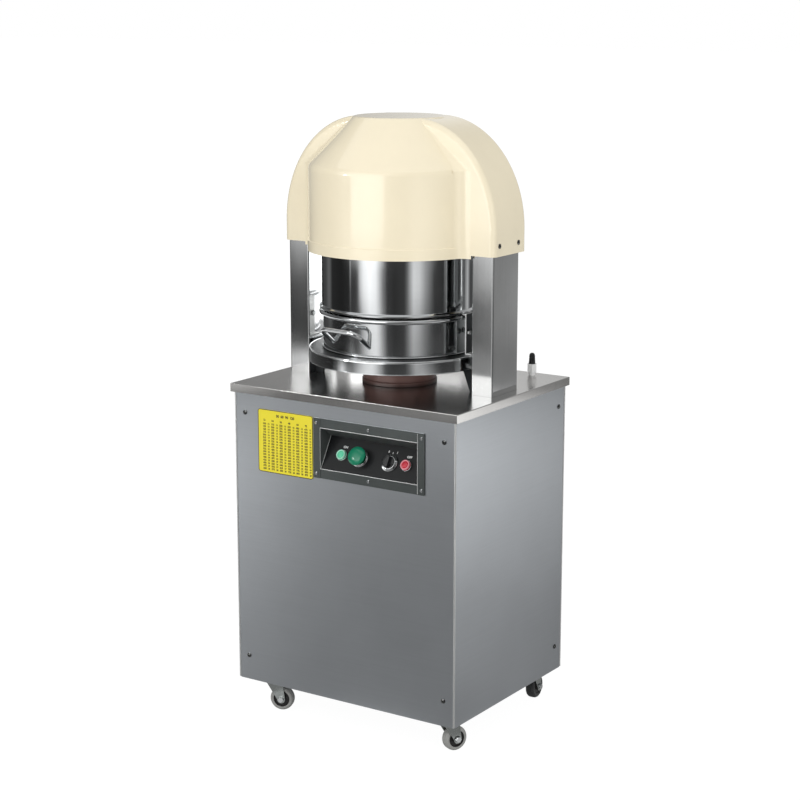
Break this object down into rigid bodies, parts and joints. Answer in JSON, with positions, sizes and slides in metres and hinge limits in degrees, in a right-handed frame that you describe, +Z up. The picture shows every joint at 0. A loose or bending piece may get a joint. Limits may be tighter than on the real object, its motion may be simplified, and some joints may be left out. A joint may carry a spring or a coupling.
{
  "type": "dough divider",
  "caption": "Floor-standing dough divider: a wheeled cabinet carries columns, a domed pressing head with ring knives and press pads, and a removable round pan.",
  "frame": {"origin": "on the floor, under the middle of the cabinet and its table", "axes": "+Z up, -Y towards the front with the controls, +X to the right as seen from the front"},
  "size_m": [0.56, 0.4579, 1.2785],
  "materials": {
    "stainless_panel": "brushed stainless sheet",
    "polished_steel": "polished stainless",
    "column_steel": "brushed stainless tube",
    "hood_cream": "glossy moulded shell",
    "frame_paint": "painted steel",
    "bezel_grey": "dark satin sheet",
    "plate_black": "matt black plate",
    "chart_yellow": "printed plate",
    "pedestal_brown": "dark brown enamel",
    "lamp_green": "clear lens",
    "lamp_red": "clear lens",
    "button_green": "moulded button",
    "knob_black": "moulded knob",
    "chrome_ring": "chromed ring",
    "gland_white": "moulded nylon",
    "sleeve_black": "rubber sleeve",
    "screw_steel": "zinc plated",
    "bare_steel": "machined steel",
    "cast_grey": "painted casting",
    "motor_blue": "painted motor",
    "box_grey": "moulded enclosure",
    "food_white": "food-grade plastic",
    "zinc": "zinc plated pressing",
    "tyre_grey": "grey rubber"
  },
  "bodies": {
    "machine": {"cabinet_frame": "frame_paint", "base_plate": "stainless_panel", "front_panel": "stainless_panel", "rear_panel": "stainless_panel", "left_panel": "stainless_panel", "right_panel": "stainless_panel", "table_top": "polished_steel", "panel_screws": "screw_steel", "left_column": "column_steel", "right_column": "column_steel", "rod_guides": "cast_grey", "pan_seat": "polished_steel", "pan_pedestal": "pedestal_brown", "seat_bolts": "screw_steel", "pan_keepers": "column_steel", "column_brackets": "frame_paint", "head_drum": "polished_steel", "hood": "hood_cream", "hood_fixings": "screw_steel", "control_bezel": "bezel_grey", "control_plate": "plate_black", "control_collars": "chrome_ring", "contact_blocks": "plate_black", "green_lamp": "lamp_green", "red_lamp": "lamp_red", "chart_plate": "chart_yellow", "cable_gland": "gland_white", "gland_sleeve": "sleeve_black", "caster_plates": "zinc", "drive_plate": "frame_paint", "bearing_stands": "cast_grey", "gearbox_housing": "cast_grey", "motor": "motor_blue", "electrical_box": "box_grey", "limit_switches": "box_grey"},
    "head": {"crosshead": "frame_paint", "lift_rods": "bare_steel", "racks": "bare_steel", "head_ram": "bare_steel", "knife_carrier": "bare_steel", "knife_cage": "column_steel", "press_springs": "bare_steel"},
    "press_plate": {"press_pads": "food_white", "press_spider": "bare_steel"},
    "cross_shaft_body": {"cross_shaft": "bare_steel", "bull_gear": "bare_steel"},
    "drive_pinion_body": {"drive_pinion": "bare_steel"},
    "pan": {"dough_pan": "polished_steel", "dough_board": "food_white", "pan_handle": "polished_steel"},
    "start_button_body": {"start_button": "button_green"},
    "selector_body": {"selector_knob": "knob_black"},
    "swivel_front_left": {"caster_fork_front_left": "zinc"},
    "wheel_front_left": {"caster_wheel_front_left": "tyre_grey"},
    "swivel_front_right": {"caster_fork_front_right": "zinc"},
    "wheel_front_right": {"caster_wheel_front_right": "tyre_grey"},
    "swivel_rear_left": {"caster_fork_rear_left": "zinc"},
    "wheel_rear_left": {"caster_wheel_rear_left": "tyre_grey"},
    "swivel_rear_right": {"caster_fork_rear_right": "zinc"},
    "wheel_rear_right": {"caster_wheel_rear_right": "tyre_grey"}
  },
  "joints": [
    {"name": "head_slide", "type": "slide", "parent": "machine", "child": "head", "axis": [0, 0, -1], "range_m": [0, 0.0754]},
    {"name": "press_plate_slide", "type": "slide", "parent": "head", "child": "press_plate", "axis": [0, 0, 1], "range_m": [0, 0.04], "stiffness_N_per_m": 3000, "springref_m": -0.02, "deforming": ["press_springs"]},
    {"name": "cross_shaft_turn", "type": "hinge", "parent": "machine", "child": "cross_shaft_body", "pos_m": [0, 0.036, 0.49], "axis": [1, 0, 0], "range_deg": [0, 160.5]},
    {"name": "drive_pinion_turn", "type": "hinge", "parent": "machine", "child": "drive_pinion_body", "pos_m": [0.07, -0.05175, 0.47], "axis": [1, 0, 0], "range_deg": [-481.5, 0]},
    {"name": "pan_slide", "type": "slide", "parent": "machine", "child": "pan", "axis": [0, -1, 0], "range_m": [0, 0.35]},
    {"name": "start_button_press", "type": "slide", "parent": "machine", "child": "start_button_body", "axis": [0, 0.8572, -0.515], "range_m": [0, 0.006], "stiffness_N_per_m": 400, "springref_m": -0.004},
    {"name": "selector_turn", "type": "hinge", "parent": "machine", "child": "selector_body", "pos_m": [0.108, -0.20297, 0.6], "axis": [0, 0.8572, -0.515], "range_deg": [0, 60]},
    {"name": "swivel_front_left_turn", "type": "hinge", "parent": "machine", "child": "swivel_front_left", "pos_m": [-0.222, -0.175, 0.0675], "axis": [0, 0, 1], "continuous": true},
    {"name": "wheel_front_left_roll", "type": "hinge", "parent": "swivel_front_left", "child": "wheel_front_left", "pos_m": [-0.19851, -0.16645, 0.026], "axis": [0.342, -0.9397, 0], "continuous": true},
    {"name": "swivel_front_right_turn", "type": "hinge", "parent": "machine", "child": "swivel_front_right", "pos_m": [0.222, -0.175, 0.0675], "axis": [0, 0, 1], "continuous": true},
    {"name": "wheel_front_right_roll", "type": "hinge", "parent": "swivel_front_right", "child": "wheel_front_right", "pos_m": [0.23257, -0.15234, 0.026], "axis": [0.9063, -0.4226, 0], "continuous": true},
    {"name": "swivel_rear_left_turn", "type": "hinge", "parent": "machine", "child": "swivel_rear_left", "pos_m": [-0.222, 0.175, 0.0675], "axis": [0, 0, 1], "continuous": true},
    {"name": "wheel_rear_left_roll", "type": "hinge", "parent": "swivel_rear_left", "child": "wheel_rear_left", "pos_m": [-0.20285, 0.19107, 0.026], "axis": [0.6428, -0.766, 0], "continuous": true},
    {"name": "swivel_rear_right_turn", "type": "hinge", "parent": "machine", "child": "swivel_rear_right", "pos_m": [0.222, 0.175, 0.0675], "axis": [0, 0, 1], "continuous": true},
    {"name": "wheel_rear_right_roll", "type": "hinge", "parent": "swivel_rear_right", "child": "wheel_rear_right", "pos_m": [0.21982, 0.1999, 0.026], "axis": [0.9962, 0.0872, 0], "continuous": true}
  ],
  "couplings": [
    {"joint": "cross_shaft_turn", "follows": "head_slide", "rad_per_m": 37.037},
    {"joint": "drive_pinion_turn", "follows": "head_slide", "rad_per_m": -111.11}
  ]
}
